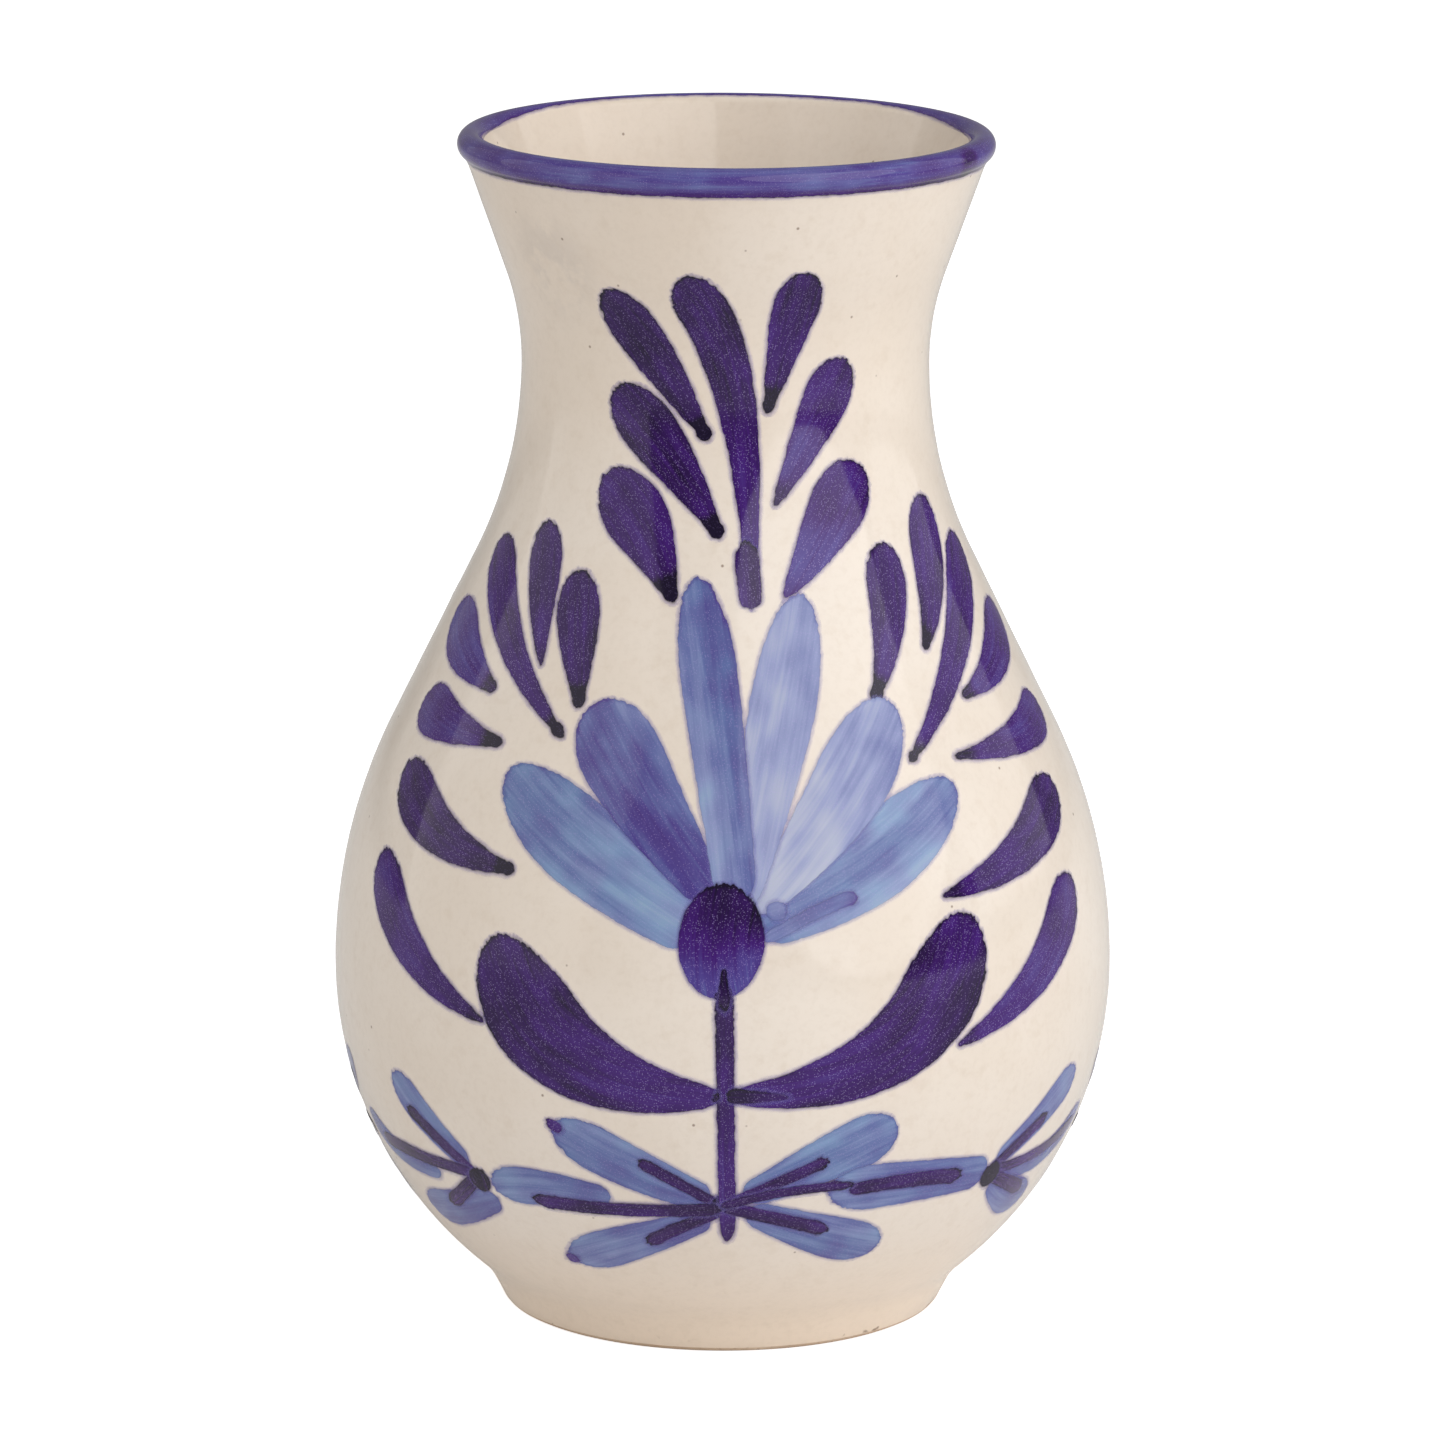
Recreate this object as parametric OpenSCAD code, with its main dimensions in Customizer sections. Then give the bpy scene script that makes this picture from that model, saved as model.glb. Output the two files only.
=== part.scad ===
// Hand-thrown and hand-painted earthenware flower vase.
// The origin is the centre of the face it stands on, +Z is up, and the painted front faces -Y.

/* [Vase] */
// Height over the lip
vase_h = 200; // [199:0.5:201]
// Largest radius of the belly, over the glaze
belly_r = 65.6; // [64:0.2:67]
// Height of the widest ring of the belly
belly_z = 58.5; // [57:0.5:60]
// Smallest radius of the neck, over the glaze
neck_r = 34; // [33:0.2:35]
// Height of the narrowest ring of the neck
neck_z = 161.5; // [160:0.5:163]

/* [Curves of the wall] */
// Radius of the curve from the foot to the belly
low_arc = 66; // [65:0.5:68]
// Radius of the curve above the belly
shoulder_arc = 93; // [90:1:96]
// Radius of the hollow curve below the neck
neck_arc = 74; // [70:1:78]
// Radius of the hollow curve above the neck
lip_arc = 46; // [44:1:48]
// How far the lip leans outwards, in degrees
flare = 19.5; // [18:0.5:21]

/* [Lip and foot] */
// Radius of the circle that the rolled lip follows
lip_r = 42.4; // [42:0.1:42.8]
// Radius of the rolled lip's own round section
bead_r = 2.2; // [2:0.05:2.4]
// Radius of the foot where it stands
foot_r = 37; // [36:0.2:38]
// Radius of the foot where the belly starts
foot_top_r = 40; // [39.6:0.1:40.4]
// Height of the foot
foot_h = 6.2; // [5.8:0.1:6.6]
// Depth of the hollow under the foot
recess_h = 2.4; // [1:0.2:3]
// Width of the bare ring that the vase stands on
foot_ring = 6; // [4:0.5:9]

/* [Layers] */
// Wall thickness just above the foot
base_wall = 5.4; // [4.8:0.1:6]
// Wall thickness just under the lip
lip_wall = 3.9; // [3.6:0.1:4.1]
// Thickness of the floor over the hollow
floor_t = 5.6; // [5:0.2:7]
// Thickness of the white glaze
glaze_t = 0.4; // [0.3:0.05:0.6]
// Height of the bare band of clay at the foot
bare_h = 0.8; // [0.5:0.1:1.2]
// Thickness of the fired paint
paint_t = 0.15; // [0.1:0.05:0.2]

/* [Hidden] */

$fn = 96;
arc_step = 2.2;        // longest chord along a curve of the wall
line_step = 3;         // longest stretch between two stations on a straight part of the wall
outline_steps = 11;    // steps along one side of a painted stroke
eye_turn = 12;         // degrees between two points round the eye
taper_bend = 1.4;      // above 1, a stroke keeps its width before it thins out
lift_share = 0.08;     // share of a stroke's length over which its tail closes

// Share of a stroke's width that is left at its tail
plume_tail = 0.28;
petal_tail = 0.6;
leaf_tail = 0.3;
line_tail = 0.85;
reach = 80;            // past every wall, for the tools that cut
gap = 0.01;            // keeps a cutting tool off the face that it ends on

lip_z = vase_h - bead_r - paint_t;
floor_z = recess_h + floor_t;

ivory = "#efe5d3";
biscuit = "#c98f6a";
cobalt = "#3a2f7d";
light_cobalt = "#6d83c6";

// A painted stroke is [azimuth, height] where the brush lands, half way and where it lifts, and its width.
// Azimuth 0 faces -Y and grows towards +X.
top_plume = [
    [-32.5, 178, -19, 167, -4.5, 154, 8.6],
    [-11.5, 181, 3, 160, 6, 128, 8.6],
    [20, 182, 17, 172, 11.5, 158.5, 8.2],
    [-32, 161.5, -15.5, 151.5, -1, 138.5, 9.6],
    [34.5, 166.5, 25.5, 156.5, 13, 143.5, 8.6],
    [-34, 147, -21.5, 140, -11.5, 128.5, 11],
    [38.5, 149, 27.5, 140.5, 13.5, 129, 10.4]];
left_plume = [
    [-50.5, 138.5, -45, 128, -39, 117, 7.4],
    [-36.5, 132, -32, 122, -28, 111.5, 8.2],
    [-69, 134, -52, 121.5, -30, 107, 8],
    [-76, 122.5, -64, 116.5, -48.5, 112, 9.6],
    [-71, 107.5, -60, 105.5, -42.5, 104.5, 9],
    [-66, 97.5, -51, 89.5, -33.5, 86, 9.8],
    [-64.5, 83.5, -52.5, 70, -36.5, 61, 9.4]];
right_plume = [
    [42, 136, 38, 125, 29.5, 112.5, 8.2],
    [62, 142, 55.5, 130.5, 45, 119, 9],
    [76, 134, 55.5, 119, 34, 103, 8.2],
    [82, 122, 68, 115, 51, 111, 8.8],
    [79, 106, 66, 103, 44, 102.5, 8.6],
    [68.5, 95, 54.5, 87, 35, 82, 10],
    [65, 80, 53.5, 67, 36, 57.5, 9.8]];
petals = [
    [-39, 101, -20, 89.5, -3, 78.5, 14],
    [-25, 112.5, -13.5, 99.5, -1.5, 84, 12.6],
    [-5, 132, -1.5, 109.5, 2, 84, 8.6],
    [17, 129, 10, 107, 4.5, 84, 9.4],
    [31.5, 112, 20, 99, 5, 83, 10.8],
    [41, 99, 23.5, 89.5, 5, 80, 11.8]];
leaves = [
    [-35, 75.5, -22, 57.5, -0.5, 52, 16.4],
    [38.5, 79, 26, 58.5, 1.5, 52, 15.8]];
eye = [0.3, 77.2];        // centre of the flower's eye, as [azimuth, height]
eye_size = [14.8, 18];    // width and height of the eye
stem = [[0, 72.5, 0.5, 50, 1, 25, 3.2]];

// One flower of the garland: light leaves and dark veins, round a knot at [azimuth, height].
middle_leaves = [
    [-25, 44.5, -13, 38, -1.5, 33, 7.2],
    [-28, 19, -13.5, 24, -1.5, 29, 6.2],
    [26.5, 45, 16.5, 40.5, 3.5, 34, 8.2],
    [28, 22, 17.5, 25, 4, 31, 8]];
middle_veins = [
    [-12.5, 40, -7, 36.5, 0, 32, 2.2],
    [-12.5, 24, -7, 27.5, 0, 31, 2.6],
    [16, 40, 10, 37, 0, 32, 2.2],
    [17.5, 26.5, 10, 29, 0, 32, 2.8],
    [-31.5, 30.5, -17, 30.5, 0, 31.5, 2.8],
    [20.5, 35, 10, 34.5, 0, 32, 1.8]];
left_leaves = [
    [-15.5, 47.5, -9.5, 41, -1, 34.5, 5.6],
    [-31, 36.5, -23, 31.5, -9.5, 30.5, 4.6],
    [-20.5, 22, -9, 25, 3, 29, 6.4],
    [3.5, 31.5, 14, 33, 24, 32.5, 6.6]];
left_veins = [
    [-13, 42, -7, 38, 0, 33, 2.6],
    [-27, 33, -14, 33, 0, 33, 2.6],
    [-10.5, 25, -5, 28.5, 0, 32.5, 2.8]];
right_leaves = [
    [19, 46.5, 11, 41, 1, 34.5, 5.6],
    [28, 37.5, 17, 32, 4, 32, 4.6],
    [18, 24, 9.5, 26.5, 2, 31, 6.4],
    [-30, 34.5, -16, 34.5, -1, 33, 8]];
right_veins = [
    [12, 40, 6, 37, 0, 33, 2.6],
    [26, 35.5, 14, 33, 0, 33, 2.4],
    [13.5, 26, 7, 29, 0, 32, 2.8],
    [-6.5, 33.5, -17, 34.5, -27, 34, 3]];
far_leaves = [
    [-13, 44.5, -8, 40, -1, 34.5, 6.2],
    [13, 45.5, 8, 40.5, 1, 34.5, 6.6],
    [-14, 21.5, -8, 25, -1, 30, 6.2],
    [14, 20.5, 8.5, 24.5, 1, 30, 6.8]];
far_veins = [
    [-9.5, 41, -5, 37.5, 0, 33, 2.4],
    [9.5, 41.5, 5, 38, 0, 33, 2.4],
    [-10, 25, -6, 28, 0, 31, 2.6],
    [10, 24.5, 6, 27.5, 0, 31, 2.6],
    [-13.5, 33, -8, 32, 0, 32, 2.6],
    [13, 31.5, 8, 32, 0, 32, 2.4]];
knot = [0.5, 32];
knot_r = 2.2;
middle_flowers = [0, 180];
left_flower = -42;
right_flower = 47;
far_flowers = [93, 136, -89, -134];

/* Outline of the wall, as stations of [radius, height, outward normal] */

flank = let(
        from = [belly_r - shoulder_arc, belly_z],
        to = [neck_r + neck_arc, neck_z],
        across = to - from
    ) atan2(across[1], across[0]) - acos((shoulder_arc + neck_arc) / norm(across));
foot_angle = -acos((foot_top_r - belly_r + low_arc) / low_arc);

function arc_count(radius, from, to) = max(2, ceil(abs(to - from) * PI / 180 * radius / arc_step));

// side is 1 on a bulging curve and -1 on a hollow one
function wall_arc(centre_r, centre_z, radius, from, to, side) =
    [for (i = [0:arc_count(radius, from, to)])
        let(a = from + (to - from) * i / arc_count(radius, from, to))
        [centre_r + radius * cos(a), centre_z + radius * sin(a), side * cos(a), side * sin(a)]];

// Stations of a straight stretch that leans by an angle and goes up from its lower end
function wall_line(start_r, start_z, height, lean) =
    let(count = ceil(height / line_step))
    [for (i = [1:count])
        [start_r + height * i / count * tan(lean), start_z + height * i / count, cos(lean), -sin(lean)]];

shoulder_end = [belly_r - shoulder_arc + shoulder_arc * cos(flank), belly_z + shoulder_arc * sin(flank)];
neck_start_z = neck_z - neck_arc * sin(flank);
flare_start = [neck_r + lip_arc - lip_arc * cos(flare), neck_z + lip_arc * sin(flare)];

stations = concat(
    wall_arc(belly_r - low_arc, belly_z, low_arc, foot_angle, 0, 1),
    wall_arc(belly_r - shoulder_arc, belly_z, shoulder_arc, 0, flank, 1),
    wall_line(shoulder_end[0], shoulder_end[1], neck_start_z - shoulder_end[1] - line_step, -flank),
    wall_arc(neck_r + neck_arc, neck_z, neck_arc, 180 + flank, 180, -1),
    wall_arc(neck_r + lip_arc, neck_z, lip_arc, 180, 180 - flare, -1),
    wall_line(flare_start[0], flare_start[1], lip_z - flare_start[1], flare));

function skin(list, depth) = [for (s = list) [s[0] - depth * s[2], s[1] - depth * s[3]]];
function backwards(list) = [for (i = [len(list) - 1:-1:0]) list[i]];
function between(low, high) = [for (s = stations) if (s[1] > low && s[1] < high) s];
function wall_at(z) = base_wall + (lip_wall - base_wall) * z / vase_h;

/* Radius of the glazed wall at a height, and how much it grows for each mm up */

function wall_r(z) =
    z < belly_z ? belly_r - low_arc + sqrt(pow(low_arc, 2) - pow(z - belly_z, 2))
    : z < shoulder_end[1] ? belly_r - shoulder_arc + sqrt(pow(shoulder_arc, 2) - pow(z - belly_z, 2))
    : z < neck_start_z ? shoulder_end[0] - (z - shoulder_end[1]) * tan(flank)
    : z < neck_z ? neck_r + neck_arc - sqrt(pow(neck_arc, 2) - pow(z - neck_z, 2))
    : z < flare_start[1] ? neck_r + lip_arc - sqrt(pow(lip_arc, 2) - pow(z - neck_z, 2))
    : flare_start[0] + (z - flare_start[1]) * tan(flare);
function slope(z) = wall_r(z + 0.5) - wall_r(z - 0.5);

/* Half sections, revolved below */

// The whole vase as if it were solid, its skin moved in by a depth
module envelope(depth) {
    polygon(concat([[0, 0], [foot_r - depth, 0], [foot_top_r - depth, foot_h]],
        skin(between(foot_h + 1, vase_h), depth), [[0, lip_z]]));
    translate([lip_r, lip_z]) circle(r = bead_r - depth);
}

// The space inside, its skin moved out by a depth
module cavity(depth) {
    inner = [for (s = between(foot_h + 6, vase_h))
        let(t = wall_at(s[1]) - depth) [s[0] - t * s[2], s[1] - t * s[3]]];
    shown = [for (p = inner) if (p[1] > floor_z + 4) p];
    polygon(concat([[0, floor_z - depth], [28, floor_z - depth]], shown,
        [[shown[len(shown) - 1][0], vase_h + reach], [0, vase_h + reach]]));
}

// Everything inside the middle of the wall, which parts the two glazes
module inside_half() {
    middle = skin(between(foot_h + 1, vase_h - 6), lip_wall / 2);
    polygon(concat([[0, bare_h], [30, bare_h]], middle, [[lip_r, lip_z], [lip_r, vase_h + 1], [0, vase_h + 1]]));
}

module clay_section() {
    difference() {
        union() {
            envelope(glaze_t);
            intersection() {
                envelope(0);
                square([reach, bare_h]);
            }
        }
        cavity(glaze_t);
        square([foot_r - foot_ring, recess_h]);
    }
}

module glaze_section() {
    difference() {
        envelope(0);
        cavity(0);
        clay_section();
        square([foot_r - foot_ring + gap, recess_h + gap]);
        square([reach, bare_h]);
    }
}

module clay_body() {
    color(biscuit) rotate_extrude() clay_section();
}

module outer_glaze() {
    color(ivory) rotate_extrude() difference() {
        glaze_section();
        inside_half();
    }
}

module inner_glaze() {
    color(ivory) rotate_extrude() intersection() {
        glaze_section();
        inside_half();
    }
}

// The blue line that wraps over the lip
module rim_band() {
    color(cobalt) rotate_extrude() translate([lip_r, lip_z]) difference() {
        circle(r = bead_r + paint_t);
        circle(r = bead_r);
        polygon([[0, 0], [0, -reach], [reach, -reach], [reach, -reach * tan(50)]]);
        polygon([[0, 0], [0, -reach], [-reach, -reach], [-reach, -reach * tan(10)]]);
    }
}

/* Painted strokes */

function point_on(s, t) = let(
        start = [s[0], s[1]], finish = [s[4], s[5]],
        pull = 2 * [s[2], s[3]] - (start + finish) / 2
    ) pow(1 - t, 2) * start + 2 * t * (1 - t) * pull + pow(t, 2) * finish;

// Share of a stroke's length that its round landing end takes, which grows with its width
function landing(s) = let(turn = PI / 180 * wall_r(s[3]))
    min(0.42, max(0.12, 0.9 * s[6] / norm([(s[0] - s[4]) * turn, s[1] - s[5]])));

// Share of the full width along a stroke that lands round, swells and thins out to its tail
function swell(t, widest, tail) = t < widest
    ? sqrt(1 - pow(1 - t / widest, 2))
    : (1 - (1 - tail) * pow((t - widest) / (1 - widest), taper_bend)) * sqrt(min(1, (1 - t) / lift_share));

// A point beside the centre line of a stroke, in mm seen along the direction that the stroke is cut in
function beside(s, t, offset, facing) = let(
        here = point_on(s, t),
        ahead = point_on(s, t + 0.01) - point_on(s, t - 0.01),
        lean = sqrt(1 + pow(slope(here[1]), 2)),
        run = [ahead[0] * PI / 180 * wall_r(here[1]), ahead[1] * lean],
        out = offset / norm(run),
        azimuth = here[0] - facing + run[1] * out / wall_r(here[1]) * 180 / PI,
        z = here[1] - run[0] * out / lean
    ) [wall_r(z) * sin(azimuth), z];

module stroke(s, facing, tail) {
    side = [for (i = [0:outline_steps]) let(t = 0.5 - 0.5 * cos(180 * i / outline_steps))
        [t, s[6] / 2 * swell(t, landing(s), tail)]];
    inner_side = [for (i = [1:outline_steps - 1]) side[i]];
    polygon(concat(
        [for (p = side) beside(s, p[0], p[1], facing)],
        [for (p = backwards(inner_side)) beside(s, p[0], -p[1], facing)]));
}

module strokes(list, facing, tail) {
    for (s = list) stroke(s, facing, tail);
}

module flower_knot() {
    translate([wall_r(knot[1]) * sin(knot[0]), knot[1]]) circle(r = knot_r);
}

module eye_shape() {
    polygon([for (a = [0:eye_turn:359]) let(z = eye[1] + eye_size[1] / 2 * sin(a))
        [wall_r(z) * sin(eye[0]) + eye_size[0] / 2 * cos(a), z]]);
}

module stem_shape() {
    strokes(stem, 0, line_tail);
}

// A film on the glaze, cut to a flat shape that is pushed outwards at an azimuth
module film(azimuth, low, high) {
    intersection() {
        rotate_extrude() polygon(concat(
            skin(between(low - 4, high + 4), -paint_t), backwards(skin(between(low - 4, high + 4), 0))));
        rotate([0, 0, azimuth]) rotate([90, 0, 0]) linear_extrude(reach) children();
    }
}

function lowest(list) = min([for (s = list) min(s[1], s[3], s[5]) - s[6]]);
function highest(list) = max([for (s = list) max(s[1], s[3], s[5]) + s[6]]);

module plume(list, side, facing) {
    color(cobalt) for (s = list) film(side + facing, lowest([s]), highest([s])) stroke(s, facing, plume_tail);
}

module flower_petals(side) {
    color(light_cobalt) film(side, lowest(petals), highest(petals)) difference() {
        strokes(petals, 0, petal_tail);
        eye_shape();
    }
}

module flower_eye(side) {
    color(cobalt) film(side, eye[1] - eye_size[1] / 2, eye[1] + eye_size[1] / 2) eye_shape();
}

module flower_stem(side) {
    color(cobalt) film(side, lowest(stem), highest(stem)) difference() {
        stem_shape();
        eye_shape();
        flower_knot();
    }
}

module stem_leaves(side) {
    color(cobalt) for (s = leaves) film(side, lowest([s]), highest([s])) difference() {
        stroke(s, 0, leaf_tail);
        stem_shape();
    }
}

module front_top_plume() { plume(top_plume, 0, 5); }
module front_left_plume() { plume(left_plume, 0, -50); }
module front_right_plume() { plume(right_plume, 0, 54); }
module front_petals() { flower_petals(0); }
module front_flower_eye() { flower_eye(0); }
module front_stem() { flower_stem(0); }
module front_leaves() { stem_leaves(0); }
module back_top_plume() { plume(top_plume, 180, 5); }
module back_left_plume() { plume(left_plume, 180, -50); }
module back_right_plume() { plume(right_plume, 180, 54); }
module back_petals() { flower_petals(180); }
module back_flower_eye() { flower_eye(180); }
module back_stem() { flower_stem(180); }
module back_leaves() { stem_leaves(180); }

// The garland runs round the low belly, and its middle flowers sit on the stems
module garland_flower(azimuth, list, others, tail) {
    film(azimuth, lowest(list), highest(list)) difference() {
        strokes(list, 0, tail);
        strokes(others, 0, line_tail);
        flower_knot();
        if (azimuth % 180 == 0) stem_shape();
    }
}

module garland_leaves() {
    color(light_cobalt) {
        for (azimuth = middle_flowers) garland_flower(azimuth, middle_leaves, middle_veins, leaf_tail);
        for (azimuth = far_flowers) garland_flower(azimuth, far_leaves, far_veins, leaf_tail);
        garland_flower(left_flower, left_leaves, left_veins, leaf_tail);
        garland_flower(right_flower, right_leaves, right_veins, leaf_tail);
    }
}

module garland_vines() {
    color(cobalt) {
        for (azimuth = middle_flowers) garland_flower(azimuth, middle_veins, [], line_tail);
        for (azimuth = far_flowers) garland_flower(azimuth, far_veins, [], line_tail);
        garland_flower(left_flower, left_veins, [], line_tail);
        garland_flower(right_flower, right_veins, [], line_tail);
    }
}

module garland_knots() {
    for (azimuth = concat(middle_flowers, far_flowers, [left_flower, right_flower])) color(cobalt)
        film(azimuth, knot[1] - knot_r, knot[1] + knot_r) flower_knot();
}

clay_body();
outer_glaze();
inner_glaze();
rim_band();
front_top_plume();
front_left_plume();
front_right_plume();
front_petals();
front_flower_eye();
front_stem();
front_leaves();
back_top_plume();
back_left_plume();
back_right_plume();
back_petals();
back_flower_eye();
back_stem();
back_leaves();
garland_leaves();
garland_vines();
garland_knots();
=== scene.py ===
import math

import bpy
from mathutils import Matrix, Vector


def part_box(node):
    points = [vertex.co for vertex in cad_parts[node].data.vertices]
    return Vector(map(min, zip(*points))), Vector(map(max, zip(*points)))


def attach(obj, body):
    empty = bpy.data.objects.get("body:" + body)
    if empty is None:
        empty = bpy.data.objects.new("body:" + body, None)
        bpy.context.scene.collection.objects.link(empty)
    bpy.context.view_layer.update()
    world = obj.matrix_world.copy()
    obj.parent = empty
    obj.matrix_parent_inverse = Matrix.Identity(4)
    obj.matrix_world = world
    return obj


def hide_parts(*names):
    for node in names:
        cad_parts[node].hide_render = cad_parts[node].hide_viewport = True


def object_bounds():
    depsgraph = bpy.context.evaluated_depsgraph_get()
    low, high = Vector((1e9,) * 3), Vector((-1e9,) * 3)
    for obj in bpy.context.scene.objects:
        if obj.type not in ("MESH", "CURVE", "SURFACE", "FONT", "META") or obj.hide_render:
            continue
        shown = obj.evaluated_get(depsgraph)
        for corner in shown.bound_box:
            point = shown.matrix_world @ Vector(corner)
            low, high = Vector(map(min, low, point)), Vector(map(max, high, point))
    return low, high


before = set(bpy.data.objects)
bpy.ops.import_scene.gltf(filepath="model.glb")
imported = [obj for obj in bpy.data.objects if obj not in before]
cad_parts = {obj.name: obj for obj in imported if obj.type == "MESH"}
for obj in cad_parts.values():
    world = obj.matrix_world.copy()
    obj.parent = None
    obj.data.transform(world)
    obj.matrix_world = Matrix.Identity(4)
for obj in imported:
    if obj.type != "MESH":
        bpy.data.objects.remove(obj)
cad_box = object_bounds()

# A thrown earthenware vase with a white glaze and brushed blue flowers. Its front faces -Y.
# Lengths are in mm, and MM makes them metres where a mesh is built.
MM = 0.001

# ---------------------------------------------------------------- the wall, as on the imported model

# R is a radius, Z a height up the vase, H the height of a part, ARC a curve's radius and T a thickness.
BELLY_R = round(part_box("outer_glaze")[1].x / MM, 1)
VASE_H = cad_box[1].z / MM
BELLY_Z = 58.5
NECK_R = 34.0
NECK_Z = 161.5
LOW_ARC = 66.0
SHOULDER_ARC = 93.0
NECK_ARC = 74.0
LIP_ARC = 46.0
FLARE = math.radians(19.5)
LIP_R = 42.4
BEAD_R = 2.2
PAINT_T = 0.15
LIP_Z = VASE_H - BEAD_R - PAINT_T
FOOT_R = 37.0
FOOT_TOP_R = 40.0
FOOT_H = 6.2
RECESS_H = 2.4
RING_R = 31.0
FLOOR_Z = 8.0
BASE_WALL = 5.4
LIP_WALL = 3.9
GLAZE_T = 0.4
BARE_H = 0.8
BARE_R = FOOT_R + (FOOT_TOP_R - FOOT_R) * BARE_H / FOOT_H
STEP = 1.2
FOOT_ROUNDING = 1.4
FLOOR_ROUNDING = 2.5
LIP_UNDER, LIP_TOP, LIP_INSIDE = -58, 90, 168
BEAD_STEP = 9
CORNER = math.radians(12)
CORNER_STEPS = 4

ACROSS = NECK_R + NECK_ARC - BELLY_R + SHOULDER_ARC
FLANK = math.atan2(NECK_Z - BELLY_Z, ACROSS) - math.acos(
    (SHOULDER_ARC + NECK_ARC) / math.hypot(NECK_Z - BELLY_Z, ACROSS))
FOOT_ANGLE = -math.acos((FOOT_TOP_R - BELLY_R + LOW_ARC) / LOW_ARC)
SHOULDER_END = (BELLY_R - SHOULDER_ARC + SHOULDER_ARC * math.cos(FLANK),
                BELLY_Z + SHOULDER_ARC * math.sin(FLANK))
NECK_START_Z = NECK_Z - NECK_ARC * math.sin(FLANK)
FLARE_START = (NECK_R + LIP_ARC - LIP_ARC * math.cos(FLARE), NECK_Z + LIP_ARC * math.sin(FLARE))


def wall_r(z):
    """Radius of the glazed wall at a height."""
    if z < BELLY_Z:
        return BELLY_R - LOW_ARC + math.sqrt(LOW_ARC ** 2 - (z - BELLY_Z) ** 2)
    if z < SHOULDER_END[1]:
        return BELLY_R - SHOULDER_ARC + math.sqrt(SHOULDER_ARC ** 2 - (z - BELLY_Z) ** 2)
    if z < NECK_START_Z:
        return SHOULDER_END[0] - (z - SHOULDER_END[1]) * math.tan(FLANK)
    if z < NECK_Z:
        return NECK_R + NECK_ARC - math.sqrt(NECK_ARC ** 2 - (z - NECK_Z) ** 2)
    if z < FLARE_START[1]:
        return NECK_R + LIP_ARC - math.sqrt(LIP_ARC ** 2 - (z - NECK_Z) ** 2)
    return FLARE_START[0] + (z - FLARE_START[1]) * math.tan(FLARE)


def skin(low, high, depth):
    """Points up the wall, moved in by a depth that may change with the height."""
    count = math.ceil((high - low) / STEP)
    points = []
    for i in range(count + 1):
        z = low + (high - low) * i / count
        lean = wall_r(z + 0.05) - wall_r(z - 0.05)
        across = Vector((0.1, -lean)).normalized()
        points.append(Vector((wall_r(z), z)) - across * depth(z))
    return points


def bead(radius, start, end):
    """Points on the rolled lip's round section, at angles in degrees from straight out."""
    count = max(3, math.ceil(abs(end - start) / BEAD_STEP))
    angles = [math.radians(start + (end - start) * i / count) for i in range(count + 1)]
    return [Vector((LIP_R + radius * math.cos(a), LIP_Z + radius * math.sin(a))) for a in angles]


def softened(points, cut):
    """The same outline with each real corner rounded, starting at a distance from it."""
    out = [points[0]]
    for before, here, after in zip(points, points[1:], points[2:]):
        a, b = before - here, after - here
        turn = math.pi - a.angle(b)
        if turn < CORNER:
            out.append(here)
            continue
        start = here + a.normalized() * min(cut, a.length * 0.5)
        end = here + b.normalized() * min(cut, b.length * 0.5)
        for i in range(CORNER_STEPS + 1):
            t = i / CORNER_STEPS
            out.append(start * (1 - t) ** 2 + here * 2 * t * (1 - t) + end * t ** 2)
    return out + [points[-1]]


def wall_t(z):
    """Thickness of the wall at a height: it thins towards the lip."""
    return BASE_WALL + (LIP_WALL - BASE_WALL) * z / VASE_H


def outside(depth):
    """The outer skin from the foot to the top of the lip."""
    foot = [Vector((BARE_R - depth, BARE_H)), Vector((BARE_R + 1.2 - depth, FOOT_H / 2 + 0.1)),
            Vector((FOOT_TOP_R - depth, FOOT_H - 0.4))]
    rise = skin(FOOT_H + 1.6, LIP_Z - BEAD_R - 0.4, lambda z: depth)
    return softened(foot + rise + bead(BEAD_R - depth, LIP_UNDER, LIP_TOP), FOOT_ROUNDING)


def inside(depth):
    """The inner skin from the top of the lip to the middle of the floor."""
    fall = skin(FLOOR_Z + 7, LIP_Z - 4.5, lambda z: wall_t(z) - depth)[::-1]
    floor = [Vector((27, FLOOR_Z + 0.4 - depth)), Vector((12, FLOOR_Z - depth)), Vector((0, FLOOR_Z - depth))]
    return softened(bead(BEAD_R - depth, LIP_TOP, LIP_INSIDE) + fall + floor, FLOOR_ROUNDING)


# The blue band runs over the lip between these heights, outside and inside, with spare film past both.
RIM_LOW_Z = 195.05
RIM_IN_Z = 197.2
RIM_SPARE = 0.8
FILM_PROUD = 0.05
FILM_DEEP = 0.12


def rim_band_outline():
    """Closed outline of the blue film over the lip. Each point carries its distance to the outer border,
    its distance along the outline and its distance to the inner border."""
    up = [p for p in outside(-FILM_PROUD) if p.y > RIM_LOW_Z - RIM_SPARE]
    down = [p for p in inside(-FILM_PROUD)[1:] if p.y > RIM_IN_Z - RIM_SPARE]
    top = up + down
    along = [0.0]
    for before, here in zip(top, top[1:]):
        along.append(along[-1] + (here - before).length)
    start = next(a for p, a in zip(top, along) if p.y > RIM_LOW_Z)
    end = next(a for p, a in zip(top[::-1], along[::-1]) if p.y > RIM_IN_Z)
    marks = [(a - start, a, end - a) for a in along]
    under = []
    for i, here in enumerate(top):
        way = (top[min(i + 1, len(top) - 1)] - top[max(i - 1, 0)]).normalized()
        under.append(here + Vector((-way.y, way.x)) * (FILM_PROUD + FILM_DEEP))
    return top + under[::-1], marks + marks[::-1]


# ---------------------------------------------------------------- helpers for node trees


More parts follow.
